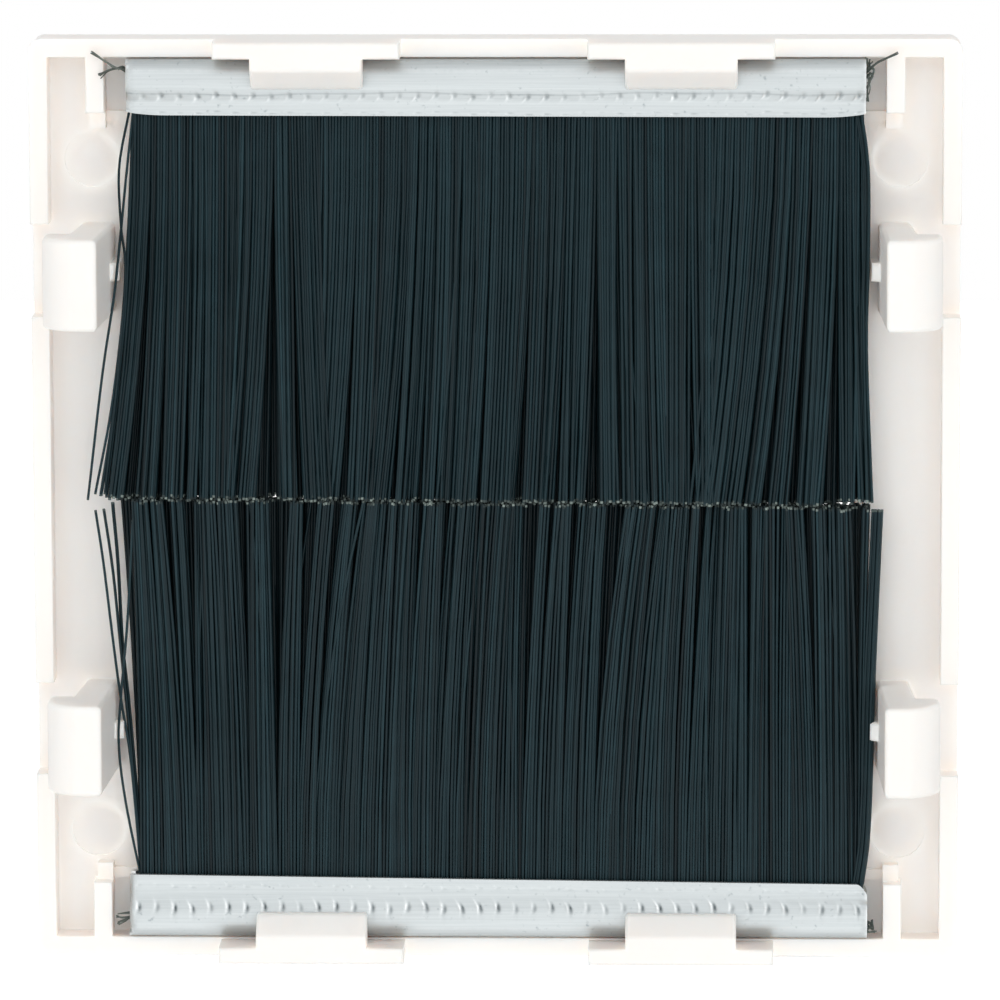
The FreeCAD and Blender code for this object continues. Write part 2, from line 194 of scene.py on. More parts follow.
def rolled_aluminium():
    """The metal of the two channels, with its painted shade and painted highlights."""
    material, tree, shader, place = new_material("rolled_aluminium")
    stretched = add(tree, "ShaderNodeMapping", {"Vector": place, "Scale": (ROLL_LINE_MM / ROLL_LENGTH_MM, 1.0, 1.0)})
    lines = add(tree, "ShaderNodeTexNoise", {
        "Vector": stretched.outputs["Vector"], "Scale": 1 / (ROLL_LINE_MM * MM), "Detail": 4.0})
    specks = add(tree, "ShaderNodeTexNoise", {"Vector": place, "Scale": 1 / (SPECK_MM * MM), "Detail": 5.0})
    dull = add(tree, "ShaderNodeMapRange", {"Value": specks.outputs["Fac"], "From Min": 0.64, "From Max": 0.8})
    metal = add(tree, "ShaderNodeMix", {
        "Factor": lines.outputs["Fac"], "A": linear("#a5abad"), "B": linear("#c2c7c8")}, data_type="RGBA")
    worn = add(tree, "ShaderNodeMix", {
        "Factor": dull.outputs["Result"], "A": metal.outputs["Result"], "B": linear("#8d9598")}, data_type="RGBA")
    # painted shade: a dark grey in the ticks, along the crimp's crease and in the lip's scallops
    dent_shade = add(tree, "ShaderNodeAttribute", attribute_name="painted_shade")
    painted_strength = add(tree, "ShaderNodeMapRange", {
        "Value": dent_shade.outputs["Fac"], "From Min": 0.1, "From Max": 0.9, "To Max": 0.85})
    dent_shaded = add(tree, "ShaderNodeMix", {
        "Factor": painted_strength.outputs["Result"], "A": worn.outputs["Result"], "B": linear("#5d6669")}, data_type="RGBA")
    # painted highlight: a near white, broken up by the specks, on the slashes, along the bend and on the cut ends; the
    # skin is also smoother there
    highlight_mask = add(tree, "ShaderNodeAttribute", attribute_name="painted_highlight")
    patchy = add(tree, "ShaderNodeMapRange", {
        "Value": specks.outputs["Fac"], "From Min": 0.3, "From Max": 0.6, "To Min": 0.35})
    highlight_amount = add(tree, "ShaderNodeMath", {0: highlight_mask.outputs["Fac"], 1: patchy.outputs["Result"]}, operation="MULTIPLY")
    bright = add(tree, "ShaderNodeMix", {
        "Factor": highlight_amount.outputs["Value"], "A": dent_shaded.outputs["Result"], "B": linear("#f4f6f6")}, data_type="RGBA")
    matt = add(tree, "ShaderNodeMapRange", {"Value": lines.outputs["Fac"], "To Min": 0.42, "To Max": 0.56})
    rough = add(tree, "ShaderNodeMix", {
        "Factor": highlight_amount.outputs["Value"], "A": matt.outputs["Result"], "B": 0.22}, data_type="FLOAT")
    bump = add(tree, "ShaderNodeBump", {"Height": lines.outputs["Fac"], "Strength": 0.2, "Distance": 0.01 * MM})
    tree.links.new(bright.outputs["Result"], shader.inputs["Base Color"])
    tree.links.new(rough.outputs["Result"], shader.inputs["Roughness"])
    tree.links.new(bump.outputs["Normal"], shader.inputs["Normal"])
    shader.inputs["Metallic"].default_value = 1.0
    return material


aluminium = rolled_aluminium()
print("made", aluminium.name)

# %% [markdown]
# ## Black nylon and yarn
# The filaments are drawn nylon, dyed black through, with a blue-green cast. Each takes the light a little
# differently, so every filament carries its own shade as an attribute, and the colour is mixed from it; in the inner
# rows that shade is painted shade. The shears whiten the cut ends, and their pale tint is also a painted glint. The
# core is a soft yarn of the same black, with no gloss.

# %% Black nylon and yarn
STREAK_MM = 1.5


def black_nylon(name, attribute, dark, light, roughness, gloss):
    """A black that runs from dark to light with an attribute of the mesh."""
    material, tree, shader, place = new_material(name)
    shade = add(tree, "ShaderNodeAttribute", attribute_name=attribute)
    streak = add(tree, "ShaderNodeTexNoise", {"Vector": place, "Scale": 1 / (STREAK_MM * MM), "Detail": 2.0})
    weight = add(tree, "ShaderNodeMapRange", {"Value": streak.outputs["Fac"], "To Min": 0.6, "To Max": 1.4})
    both = add(tree, "ShaderNodeMath", {0: shade.outputs["Fac"], 1: weight.outputs["Result"]}, operation="MULTIPLY")
    colour = add(tree, "ShaderNodeMix", {
        "Factor": both.outputs["Value"], "A": linear(dark), "B": linear(light)}, data_type="RGBA")
    tree.links.new(colour.outputs["Result"], shader.inputs["Base Color"])
    shader.inputs["Roughness"].default_value = roughness
    shader.inputs["IOR"].default_value = PLASTIC_IOR
    shader.inputs["Specular IOR Level"].default_value = gloss
    return material


nylon = black_nylon("black_drawn_nylon", "shade", "#061216", "#263f46", 0.4, 0.14)
# the pale cut ends: whitening by the shears, and a painted glint of light on the ends
cut_nylon_and_glint = black_nylon("sheared_nylon_end_and_glint", "cut", "#162225", "#87948f", 0.7, 0.2)
yarn = black_nylon("black_twisted_yarn", "shade", "#2b3230", "#727973", 0.8, 0.1)
print("made", nylon.name, cut_nylon_and_glint.name, yarn.name)

# %% [markdown]
# ## Making pieces
# Every new piece ends the same way: the mesh becomes an object at the origin, it is shaded smooth up to an angle, it
# rides on the body and the CAD node it stands for is hidden.

# %% Helper for pieces


def finish_piece(bm, name, materials, smooth_angle, stands_for):
    """Turns a bmesh into an object that rides on the body and stands for a CAD node. The angle is in degrees."""
    for face in bm.faces:
        face.smooth = True
    for edge in bm.edges:
        edge.smooth = edge.calc_face_angle(0.0) < math.radians(smooth_angle)
    mesh = bpy.data.meshes.new(name)
    bm.to_mesh(mesh)
    bm.free()
    for material in materials:
        mesh.materials.append(material)
    piece = bpy.data.objects.new(name, mesh)
    bpy.context.scene.collection.objects.link(piece)
    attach(piece, "root")
    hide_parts(stands_for)
    print(name, len(mesh.polygons), "faces")
    return piece


print("every piece rides on the root body")

# %% [markdown]
# ## The moulding
# A mould's edges are never knife-sharp: the hooks and tabs are rounded so that they ride over the box's edge, and the
# rims are only eased. The CAD solid is copied, its triangles are merged back into flat faces, and each family of sharp
# edges is bevelled by its own amount. One bevel for all would be held back by the smallest edge. Weighted normals
# keep the large faces flat to the eye.

# %% The moulding
SHARP_ANGLE = math.radians(25)
FLAT_ANGLE = math.radians(1)
HOOK_EDGE_MM = 0.26
TAB_EDGE_MM = 0.18
RIM_EDGE_MM = 0.08
SHORTEST_MM = 0.3
# y that parts the hooks from the tabs, y that parts the tabs from the rim, and how near the rim's edges lie to y = 0
HOOK_Y_MM = -2.6
TAB_Y_MM = -0.3
RIM_NEAR_MM = 0.02


def soften(bm, radius_mm, wanted):
    """Bevels the sharp outer edges whose lowest and highest y, in mm, are wanted."""
    edges = []
    for edge in bm.edges:
        low, high = sorted(vert.co.y / MM for vert in edge.verts)
        sharp = edge.is_convex and edge.calc_face_angle(0.0) > SHARP_ANGLE
        if sharp and edge.calc_length() > SHORTEST_MM * MM and wanted(low, high):
            edges.append(edge)
    bmesh.ops.bevel(bm, geom=edges, offset=radius_mm * MM, offset_type="OFFSET", segments=3, profile=0.5,
                    affect="EDGES", material=-1, clamp_overlap=False)
    print("softened", len(edges), "edges by", radius_mm, "mm")


def make_moulding():
    """The frame, with the edges of its hooks, tabs and rim softened."""
    bm = bmesh.new()
    bm.from_mesh(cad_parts["module_frame"].data)
    bmesh.ops.remove_doubles(bm, verts=bm.verts, dist=0.001 * MM)
    bmesh.ops.dissolve_limit(bm, angle_limit=FLAT_ANGLE, verts=bm.verts, edges=bm.edges)
    soften(bm, HOOK_EDGE_MM, lambda low, high: low < HOOK_Y_MM)
    soften(bm, TAB_EDGE_MM, lambda low, high: HOOK_Y_MM <= low and high < TAB_Y_MM)
    soften(bm, RIM_EDGE_MM, lambda low, high: max(abs(low), abs(high)) < RIM_NEAR_MM)
    bmesh.ops.triangulate(bm, faces=[face for face in bm.faces if len(face.verts) > 4])
    piece = finish_piece(bm, "moulding", [abs_white], 35, "module_frame")
    weighted = piece.modifiers.new("flat_faces_stay_flat", "WEIGHTED_NORMAL")
    weighted.keep_sharp = True
    weighted.weight = 100


make_moulding()

# %% [markdown]
# ## The channels
# Each channel is a strip folded into a U and crimped, which nips the filaments. Eight points give the folded section,
# and a bevel rounds its corners. A spin without any turn repeats the section along the channel. The crimping tool's
# dents go into the fine mesh: each is a tick with painted shade and a slash beside it with a painted highlight. A wavy
# crease with painted shade runs along the crimp, the bend carries a painted highlight, the lip rises at the ends, and
# solidify gives the strip its thickness last.

# %% The channels
upper_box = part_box("upper_channel")
NEAR_Y, FAR_Y = upper_box[0].y, upper_box[1].y
MOUTH_Z, BACK_Z = upper_box[0].z, upper_box[1].z
MIDDLE_Y = (NEAR_Y + FAR_Y) / 2
CRIMP_Z = MOUTH_Z + 1.3 * MM
CRIMP_IN = 0.4 * MM
CRIMP_SPREAD = 0.45 * MM
SHEET_MM = 0.3
# height of the painted highlight along the bend
BEND_Z = 23.3 * MM
BEND_RADIUS = 0.95 * MM
CRIMP_RADIUS = 0.16 * MM
STEP = 0.07 * MM
LONG_EDGE = 0.5 * MM
LONG_CUTS = 9
BLOWS = 60
# places and widths of the tick and the slash, as shares of the pitch; the tick carries painted shade, the slash a
# painted highlight
TICK_PLACE = 0.08
SLASH_PLACE = -0.1
SLASH_HALF = 0.06
DENT_BOW = 0.05
SLASH_DROP = 0.05 * MM
SLASH_DEPTH = 0.6
WAVES = 5
CREASE_UP = 0.1 * MM
LINE_HALF = 0.06 * MM
# length of the burr and of the painted highlight at each cut end, and the strength of that highlight
END_LENGTH = 0.5 * MM
END_HIGHLIGHT = 0.45
BACK_FREE = 0.3 * MM


def channel_section(bm, start_x):
    """The folded section, as a chain of edges, with its corners rounded."""
    places = [
        (NEAR_Y + CRIMP_IN, MOUTH_Z), (NEAR_Y + CRIMP_IN, CRIMP_Z - CRIMP_SPREAD), (NEAR_Y, CRIMP_Z + CRIMP_SPREAD),
        (NEAR_Y, BACK_Z), (FAR_Y, BACK_Z),
        (FAR_Y, CRIMP_Z + CRIMP_SPREAD), (FAR_Y - CRIMP_IN, CRIMP_Z - CRIMP_SPREAD), (FAR_Y - CRIMP_IN, MOUTH_Z)]
    verts = [bm.verts.new((start_x, y, z)) for y, z in places]
    for one, two in zip(verts, verts[1:]):
        bm.edges.new((one, two))
    bmesh.ops.bevel(bm, geom=[verts[3], verts[4]], offset=BEND_RADIUS, segments=8, profile=0.5, affect="VERTICES",
                    material=-1)
    soft = [v for v in bm.verts if abs(v.co.z - CRIMP_Z) < CRIMP_SPREAD * 1.1]
    bmesh.ops.bevel(bm, geom=soft, offset=CRIMP_RADIUS, segments=3, profile=0.5, affect="VERTICES", material=-1)
    long_edges = [e for e in bm.edges if e.calc_length() > LONG_EDGE]
    bmesh.ops.subdivide_edges(bm, edges=long_edges, cuts=LONG_CUTS)


def make_channel(name, node, side, seed, reach, lip, pitch, dents, ends, painted_lines):
    """One channel, with side 1 for the upper one and -1 for the lower one.

    lip: its shift and its tilt. pitch: the pitch of the dents and their shift along the channel.
    dents: (height on the section, depth, half height, half width as a share of the pitch, strength of the painted
    shade in the tick and of the painted highlight on the slash).
    ends: (depth of the burr, rise of the lip, length of that rise), left and right.
    painted_lines: the painted shade along the crease and the painted highlight along the bend.
    """
    rng = random.Random(seed)
    bm = bmesh.new()
    channel_section(bm, reach[0])
    steps = round((reach[1] - reach[0]) / STEP)
    bmesh.ops.spin(bm, geom=bm.verts[:] + bm.edges[:], cent=(0, 0, 0), axis=(1, 0, 0),
                   dvec=((reach[1] - reach[0]) / steps, 0, 0), angle=0.0, steps=steps)
    # painted shade and painted highlight of the strip, kept as attributes
    shade_layer = bm.verts.layers.float.new("painted_shade")
    highlight_layer = bm.verts.layers.float.new("painted_highlight")
    blows = [(rng.uniform(0.5, 1.0), rng.gauss(0, 0.05) * MM, rng.uniform(-0.25, 0.15), rng.uniform(0.3, 0.9))
             for _ in range(BLOWS)]
    waves = [(rng.uniform(0.3, 1.1) / MM, rng.uniform(0, 6.3), rng.uniform(0.015, 0.04) * MM) for _ in range(WAVES)]
    for vert in bm.verts:
        x, y, z = vert.co
        inward = 1 if y < MIDDLE_Y else -1
        press = 0.0
        number = math.floor((x - pitch[1]) / pitch[0])
        force, height, slant, bright = blows[number % BLOWS]
        for dent_z, depth, tall, wide, painted_strength in dents:
            up = z - dent_z - height
            across = (x - pitch[1]) / pitch[0] - number - 0.5 + slant * up / pitch[0] + DENT_BOW * (up / tall) ** 2
            tick = force * math.exp(-((across - TICK_PLACE) / wide) ** 2 - (up / tall) ** 2)
            slash = force * math.exp(-((across - SLASH_PLACE) / SLASH_HALF) ** 2 - ((up + SLASH_DROP) / tall) ** 2)
            press += depth * (tick + SLASH_DEPTH * slash)
            # painted shade in the tick and painted highlight on the slash
            vert[shade_layer] = max(vert[shade_layer], tick * painted_strength)
            vert[highlight_layer] = max(vert[highlight_layer], bright * slash * painted_strength)
        crease = z - CRIMP_Z - CREASE_UP - sum(size * math.sin(often * x + start) for often, start, size in waves)
        # painted shade along the crease and painted highlight along the bend
        vert[shade_layer] = max(vert[shade_layer], painted_lines[0] * (0.4 + 0.6 * force) * math.exp(-(crease / LINE_HALF) ** 2))
        vert[highlight_layer] = max(vert[highlight_layer], painted_lines[1] * math.exp(-((z - BEND_Z) / LINE_HALF) ** 2))
        rise = lip[0] + lip[1] * x / reach[1]
        for end, (burr, lift, length) in zip(reach, ends):
            near = max(0.0, 1 - abs(x - end) / END_LENGTH)
            press += burr * near ** 2
            # painted highlight on the cut ends
            vert[highlight_layer] = max(vert[highlight_layer], END_HIGHLIGHT * near ** 6)
            rise += lift * max(0.0, 1 - abs(x - end) / length) ** 2
        if abs(z - BACK_Z) > BACK_FREE:
            vert.co.y += inward * press
        vert.co.z = side * (z + rise * min(1.0, max(0.0, (CRIMP_Z - z) / (CRIMP_Z - MOUTH_Z))))
    bmesh.ops.recalc_face_normals(bm, faces=bm.faces)
    middle = max(bm.faces, key=lambda face: face.calc_center_median().z * side)
    if middle.normal.z * side < 0:
        bmesh.ops.reverse_faces(bm, faces=bm.faces)
    bmesh.ops.solidify(bm, geom=bm.faces[:], thickness=SHEET_MM * MM)
    finish_piece(bm, name, [aluminium], 50, node)


make_channel(
    "upper_crimped_channel", "upper_channel", 1, 5, reach=(-19.75 * MM, 19.85 * MM), lip=(0.18 * MM, -0.06 * MM),
    pitch=(0.982 * MM, 0.28 * MM),
    dents=((CRIMP_Z - 0.06 * MM, 0.1 * MM, 0.2 * MM, 0.1, 0.65),
           (MOUTH_Z + 0.22 * MM, 0.02 * MM, 0.07 * MM, 0.28, 0.45)),
    ends=((0.3 * MM, 0.16 * MM, 2.2 * MM), (0.1 * MM, 0.18 * MM, 2.2 * MM)), painted_lines=(0.5, 0.3))
make_channel(
    "lower_crimped_channel", "lower_channel", -1, 8, reach=(-19.98 * MM, 20.1 * MM), lip=(0.0, 0.22 * MM),
    pitch=(0.976 * MM, 0.53 * MM),
    dents=((CRIMP_Z + 0.25 * MM, 0.15 * MM, 0.28 * MM, 0.095, 1.0),
           (MOUTH_Z + 0.5 * MM, 0.03 * MM, 0.1 * MM, 0.2, 0.25)),
    ends=((0.45 * MM, 0.05 * MM, 1.0 * MM), (0.15 * MM, 0.6 * MM, 0.6 * MM)), painted_lines=(0.0, 0.15))

# %% [markdown]
# ## One filament
# A strip brush is hundreds of filaments folded over a core and gripped by the channel. They could be a hair system,
# but the part has to be an ordinary mesh, so one thin tube is modelled, and a copy of it is bent along each filament's
# own path. The last ring of faces is the sheared end.

# %% One filament
FILAMENT_MM = 0.165
FILAMENT_SIDES = 5
FOLD_RINGS = 3
FREE_PLACES = (0.0, 0.2, 0.42, 0.65, 0.85, 0.994, 1.0)
PACK_RINGS = FOLD_RINGS + len(FREE_PLACES)
STRAND_RINGS = 26
CUT_END = 0.1 * MM


def filament_template(rings):
    """A thin closed tube along Z, one metre from ring to ring."""
    bm = bmesh.new()
    bmesh.ops.create_cone(bm, cap_ends=True, segments=FILAMENT_SIDES, radius1=FILAMENT_MM / 2 * MM,
                          radius2=FILAMENT_MM / 2 * MM, depth=rings - 1,
                          matrix=Matrix.Translation((0, 0, (rings - 1) / 2)))
    for ring in range(1, rings - 1):
        bmesh.ops.bisect_plane(bm, geom=bm.verts[:] + bm.edges[:] + bm.faces[:], plane_co=(0, 0, ring),
                               plane_no=(0, 0, 1))
    for face in bm.faces:
        face.material_index = 1 if face.calc_center_median().z > rings - 2 else 0
    mesh = bpy.data.meshes.new("filament_template")
    bm.to_mesh(mesh)
    bm.free()
    return mesh


packed_filament = filament_template(PACK_RINGS)
single_strand = filament_template(STRAND_RINGS)
print("a packed filament has", len(packed_filament.polygons), "faces, a single strand", len(single_strand.polygons))

# %% [markdown]
# ## Bending filaments
# A bundle is a list of filaments, each with its ring centres, its thickness and its two shades. All the copies of the
# tube are added first, because that is quick, and then each is laid on its centres. Every ring is turned square to the
# line between its neighbours, by the shortest turn from the ring before it. So the tube keeps its thickness where it
# curves, and it never twists.

# %% Bending filaments


def weave(bundle):
    """A bmesh with one bent tube for each filament of the bundle."""
    bm = bmesh.new()
    starts = []
    for centres, *_ in bundle:
        starts.append(len(bm.verts))
        bm.from_mesh(packed_filament if len(centres) == PACK_RINGS else single_strand)
    shade = bm.verts.layers.float.new("shade")
    cut = bm.verts.layers.float.new("cut")
    bm.verts.ensure_lookup_table()
    for (centres, thickness, tint, cut_whitening_and_glint), start, end in zip(bundle, starts, [*starts[1:], len(bm.verts)]):
        last = len(centres) - 1
        lines = [centres[min(i + 1, last)] - centres[max(i - 1, 0)] for i in range(last + 1)]
        turns = [lines[0].to_track_quat("Z", "Y")]
        for before, after in zip(lines, lines[1:]):
            turns.append(before.rotation_difference(after) @ turns[-1])
        for vert in bm.verts[start:end]:
            ring = round(vert.co.z)
            vert.co = centres[ring] + turns[ring] @ Vector((vert.co.x * thickness, vert.co.y * thickness, 0.0))
            vert[shade] = tint
            vert[cut] = cut_whitening_and_glint
    bmesh.ops.recalc_face_normals(bm, faces=bm.faces)
    return bm


def along(points):
    """Ring centres on a smooth line through the points, given in mm. The last one makes the short sheared end."""
    line = [Vector(p) * MM for p in points]
    line = [line[0] * 2 - line[1], *line, line[-1] * 2 - line[-2]]
    places = []
    for number in range(STRAND_RINGS - 1):
        spot = number / (STRAND_RINGS - 2) * (len(line) - 3)
        i = min(int(spot), len(line) - 4)
        a, b, c, d = line[i:i + 4]
        t = spot - i
        places.append(0.5 * (2 * b + (c - a) * t + (2 * a - 5 * b + 4 * c - d) * t ** 2
                             + (3 * b - 3 * c + d - a) * t ** 3))
    return [*places, places[-1] + (places[-1] - places[-2]).normalized() * CUT_END]


print("a packed filament is laid on", PACK_RINGS, "rings, a single strand on", STRAND_RINGS)

# %% [markdown]
# ## The two brushes
# Each filament is folded over the core, comes down through the neck and ends near the middle of the window. Filaments
# stick together in locks, and a lock leans as one. The leans follow the photograph: a few places along the brush give
# the sideways reach at the tips, and the ones between are mixed. Rows at the back are thicker and hang straight, so
# they close the gaps, and the inner rows are painted darker, as shade. A few filaments cross their neighbours, and
# single strays stand away at the two edges.

# %% The two brushes
CORE_Z = 22.65 * MM
CORE_HALF = 0.46 * MM
NECK_HALF = 0.45 * MM
TIP_HALF = 0.85 * MM
LOCK_MM = (0.5, 1.5)
JITTER = 0.4
CROSSING_CHANCE = 0.035
LEAN_CURVE = 1.7
# the fold over the core: heights of its top and shoulder, the shoulder's share of the half width, half the gap on top
FOLD_UP = (0.52 * MM, 0.36 * MM)
FOLD_SHOULDER = 0.75
FOLD_APART = 0.05 * MM
# nearest and farthest depth, number of filaments, share of the lean, share of the shade, which paints the inner rows
# darker as shade
ROWS = ((-1.0, -0.9, 250, 1.0, 1.0), (-0.85, -0.6, 240, 1.0, 0.95), (-0.6, -0.1, 290, 1.0, 0.6),
        (-0.1, 0.3, 370, 0.4, 0.2), (0.3, 0.65, 390, 0.0, 0.2), (0.65, 1.0, 390, 0.0, 1.0))
# places along the brush in mm, each with its value in mm
UPPER_SPREAD = ((-19.4, -1.3), (-15.5, 0.0), (16.5, 0.0), (19.7, 0.45))
LOWER_SPREAD = ((-19.4, -0.9), (-16.0, 0.0), (16.0, 0.0), (19.8, 0.33))
UPPER_TIPS = ((-19.4, 0.2), (18.1, -0.17), (18.6, 0.0), (19.7, 0.08))
LOWER_TIPS = ((-19.4, 0.11), (19.0, -0.28), (19.8, -0.34))
UPPER_LEANS = ((-19.4, -1.4), (-18.6, -1.1), (-17.5, -0.7), (-15.5, -0.5), (-13.5, -0.9), (-12.3, -1.2), (-11.2, 0.7),
               (-10.4, 0.3), (-9.0, -0.7), (3.0, -0.8), (5.5, 0.0), (8.0, 0.25), (11.3, 0.1), (12.4, -1.6),
               (15.5, -1.8), (17.4, -1.0), (18.4, 0.0), (19.7, 0.5))
LOWER_LEANS = ((-19.4, -1.0), (-18.2, -0.8), (-16.0, -0.4), (-13.0, -0.1), (-12.0, 0.3), (-10.5, 1.3), (-8.5, 1.4),
               (-5.0, 0.9), (0.0, 0.7), (4.0, 0.8), (6.5, 1.8), (9.0, 1.1), (12.0, 0.6), (14.0, 0.2), (16.5, -0.4),
               (18.2, -0.4), (19.0, 0.1), (19.8, 0.35))


def mixed(table, x_mm):
    """Reads a value between the places of a short table."""
    for (x0, v0), (x1, v1) in zip(table, table[1:]):
        if x_mm <= x1:
            return v0 + (v1 - v0) * max(0.0, x_mm - x0) / (x1 - x0)
    return table[-1][1]


def locks(rng, reach, draw):
    """Splits the width into locks: two edges, an extra lean, the tips' depth and how far the lock draws together."""
    rows, edge = [], reach[0]
    while edge < reach[1]:
        width = rng.uniform(*LOCK_MM) * MM
        rows.append((edge, edge + width, rng.gauss(0, 0.2) * MM, rng.gauss(0, 0.16) * MM, rng.uniform(*draw)))
        edge += width
    return rows


def fill_brush(rng, side, reach, leans, spread, tips, draw):
    """One brush, with side 1 for the upper one and -1 for the lower one. The tables give leans and heights of tips."""
    bundle = []
    rows = locks(rng, reach, draw)
    for near, far, count, share, shade in ROWS:
        for number in range(count):
            place = (number + 0.5 + rng.uniform(-JITTER, JITTER) / 2) / count
            root_x = reach[0] + (reach[1] - reach[0]) * place
            lock = next((row for row in rows if row[0] <= root_x < row[1]), rows[-1])
            lock_middle = (lock[0] + min(lock[1], reach[1])) / 2
            depth = rng.uniform(near, far)
            crossing = rng.gauss(0, 0.7) if rng.random() < CROSSING_CHANCE * share else 0.0
            even = (1 - share) * mixed(spread, root_x / MM)
            own = rng.gauss(0, 0.03 + 0.03 * share)
            lean = (share * mixed(leans, lock_middle / MM) + even + crossing + own) * MM + share * lock[2]
            gather = (lock_middle - root_x) * (1 - lock[4]) * share
            bow = rng.gauss(0, 0.02 + 0.03 * share) * MM
            cheek = 1 if depth > 0 else -1
            neck_y = MIDDLE_Y + depth * NECK_HALF
            tip_y = MIDDLE_Y + depth * TIP_HALF + share * lock[3]
            tip_z = (mixed(tips, root_x / MM) + rng.gauss(0, 0.06)) * MM
            beside = CORE_HALF * (0.8 + 0.2 * abs(depth))
            centres = [Vector((root_x, MIDDLE_Y + cheek * FOLD_APART, side * (CORE_Z + FOLD_UP[0]))),
                       Vector((root_x, MIDDLE_Y + cheek * beside * FOLD_SHOULDER, side * (CORE_Z + FOLD_UP[1]))),
                       Vector((root_x, MIDDLE_Y + cheek * beside, side * CORE_Z))]
            for free in FREE_PLACES:
                centres.append(Vector((
                    root_x + (lean + gather) * free ** LEAN_CURVE + bow * math.sin(math.pi * free),
                    neck_y + (tip_y - neck_y) * free,
                    side * MOUTH_Z + (tip_z - side * MOUTH_Z) * free)))
            # the row's share paints shade on the inner rows; the rest of the tint is a random tone
            tint = min(1.0, max(0.0, shade * rng.gauss(0.38, 0.12)))
            # the last value whitens some cut ends and paints a glint on them
            bundle.append((centres, rng.uniform(0.9, 1.1) * (1.3 - 0.3 * share), tint, rng.random() ** 2.5))
    return bundle


def lay_strays(rng, strays):
    """Filaments that stand away from the pack: places in mm, number of copies, and how far in the copies spread."""
    bundle = []
    for points, copies, inward in strays:
        for _ in range(copies):
            shift = Vector((rng.gauss(0, 0.05) + rng.uniform(0, inward), rng.gauss(0, 0.1), 0)) * (copies > 1)
            bundle.append((along([Vector(p) + shift for p in points]), 0.9, rng.uniform(0.3, 0.65), 0.3))
    return bundle


UPPER_STRAYS = (
    (((-19.6, 0.3, 21.2), (-20.15, -0.3, 18.1), (-20.05, -0.6, 14.9), (-19.85, -0.6, 12.5), (-20.3, -0.5, 7.0),
      (-21.1, -0.3, 0.5)), 1, 0.0),
    (((-19.4, 0.3, 21.2), (-19.75, -0.2, 17.9), (-20.05, -0.5, 14.9), (-20.45, -0.7, 11.3), (-21.15, -0.6, 6.9),
      (-22.0, -0.4, 0.2)), 1, 0.0),
    (((-19.4, 0.3, 21.2), (-19.7, 0.0, 15.0), (-20.05, -0.3, 10.0), (-20.7, -0.4, 5.0), (-21.6, -0.3, 0.5)), 1, 0.0),
    (((-19.3, 0.3, 21.2), (-19.65, 0.0, 15.0), (-19.95, -0.2, 10.0), (-20.55, -0.3, 5.0), (-21.3, -0.2, 0.4)), 2, 0.0),
    (((-19.3, 0.4, 21.2), (-19.6, 0.1, 15.0), (-19.9, 0.0, 10.0), (-20.4, -0.1, 5.0), (-21.0, -0.1, 0.3)), 3, 0.25),
    (((19.62, 0.2, 21.2), (19.95, 0.0, 18.9), (20.07, 0.0, 16.8), (20.05, 0.0, 12.9), (19.98, 0.0, 8.0),
      (20.3, 0.0, 0.1)), 14, -0.35))
LOWER_STRAYS = (
    (((-19.35, 0.3, -21.0), (-20.15, -0.2, -16.5), (-20.45, -0.7, -13.2), (-20.3, -0.6, -10.5), (-19.95, -0.4, -6.7),
      (-19.6, -0.3, -1.1)), 1, 0.0),
    (((-19.35, 0.3, -21.0), (-19.85, 0.0, -14.3), (-20.3, -0.4, -11.0), (-20.7, -0.4, -7.8), (-21.2, -0.3, -3.4),
      (-21.6, -0.2, -0.6)), 2, 0.1),
    (((-19.3, 0.4, -21.0), (-19.75, 0.2, -15.4), (-20.05, 0.0, -11.6), (-20.4, 0.0, -7.8), (-20.75, 0.0, -3.9),
      (-21.2, 0.0, -0.55)), 2, 0.0),
    (((-19.25, 0.4, -21.0), (-19.7, 0.2, -14.9), (-20.0, 0.1, -11.0), (-20.3, 0.1, -7.8), (-20.5, 0.1, -3.4),
      (-20.75, 0.1, -0.2)), 2, 0.0),
    (((19.85, 0.2, -21.0), (20.15, 0.0, -18.7), (20.3, 0.0, -15.4), (20.4, 0.0, -11.0), (20.5, 0.0, -7.8),
      (20.8, 0.0, -0.5)), 26, -0.48))


def make_brush(name, node, side, seed, reach, leans, spread, tips, draw, strays):
    """The pack of one brush and its strays, as one piece."""
    rng = random.Random(seed)
    bundle = fill_brush(rng, side, reach, leans, spread, tips, draw) + lay_strays(rng, strays)
    finish_piece(weave(bundle), name, [nylon, cut_nylon_and_glint], 80, node)


make_brush("upper_filaments", "upper_bristles", 1, 11, (-19.35 * MM, 19.72 * MM), UPPER_LEANS, UPPER_SPREAD,
           UPPER_TIPS, (0.84, 1.0), UPPER_STRAYS)
make_brush("lower_filaments", "lower_bristles", -1, 23, (-19.4 * MM, 19.85 * MM), LOWER_LEANS, LOWER_SPREAD,
           LOWER_TIPS, (0.55, 0.95), LOWER_STRAYS)

# %% [markdown]
# ## The core yarns
# A yarn runs through each channel, and the filaments are folded over it. It was cut roughly, so its strands stick out
# of the four ends and curl. The straight run is hidden, so a few parallel strands do, and the ends are laid one by
# one.

# %% The core yarns
FRAY_MM = 0.038
FRAY_COPIES = 4
RUN_HALF_MM = 19.4
